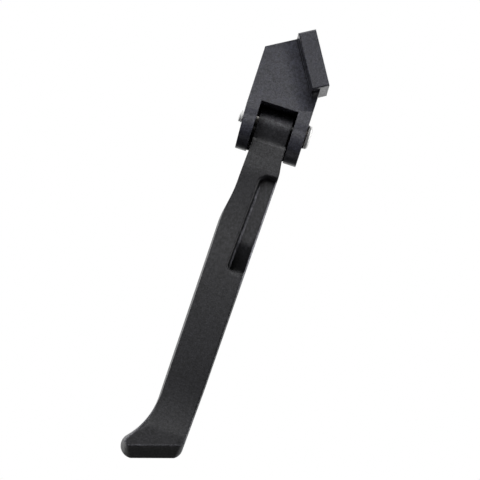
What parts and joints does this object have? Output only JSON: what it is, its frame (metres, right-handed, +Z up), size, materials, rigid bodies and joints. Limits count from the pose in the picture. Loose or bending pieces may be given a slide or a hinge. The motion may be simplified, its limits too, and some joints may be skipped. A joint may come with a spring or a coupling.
{
  "type": "electric scooter kickstand",
  "caption": "Folding side stand for a scooter: a clevis bracket with a bolting flange, and a drafted leg with a toe and a bevelled sole that swings on a pivot bolt.",
  "frame": {"origin": "middle of the flange face that bolts to the scooter", "axes": "+Z up as the scooter is parked on the stand, +X towards the scooter, +Y away from the side that the leg folds up to"},
  "size_m": [0.0825, 0.0318, 0.17],
  "materials": {
    "bracket_coat": "satin black powder coat on cast aluminium",
    "leg_coat": "satin black powder coat on cast aluminium",
    "bolt_steel": "bright zinc plate",
    "dark_washer": "black oxide",
    "washer_steel": "plain steel",
    "bush_bronze": "sintered bronze",
    "spring_steel": "drawn wire",
    "ball_steel": "polished"
  },
  "bodies": {
    "bracket": {"mounting_bracket": "bracket_coat", "pivot_bolt": "bolt_steel", "head_washer": "dark_washer", "thrust_washer_left": "washer_steel", "thrust_washer_right": "washer_steel"},
    "leg": {"leg": "leg_coat", "pivot_bush": "bush_bronze", "detent_spring": "spring_steel"},
    "ball_left": {"detent_ball_left": "ball_steel"},
    "ball_right": {"detent_ball_right": "ball_steel"}
  },
  "joints": [
    {"name": "leg_fold", "type": "hinge", "parent": "bracket", "child": "leg", "pos_m": [-0.0187, 0.008, -0.02492], "axis": [-0.9521, 0, 0.3057], "range_deg": [0, 90]},
    {"name": "ball_left_snap", "type": "slide", "parent": "leg", "child": "ball_left", "axis": [-0.9521, 0, 0.3057], "range_m": [0, 0.0005], "stiffness_N_per_m": 2000, "springref_m": 0.002},
    {"name": "ball_right_snap", "type": "slide", "parent": "leg", "child": "ball_right", "axis": [0.9521, 0, -0.3057], "range_m": [0, 0.0005], "stiffness_N_per_m": 2000, "springref_m": 0.002}
  ]
}
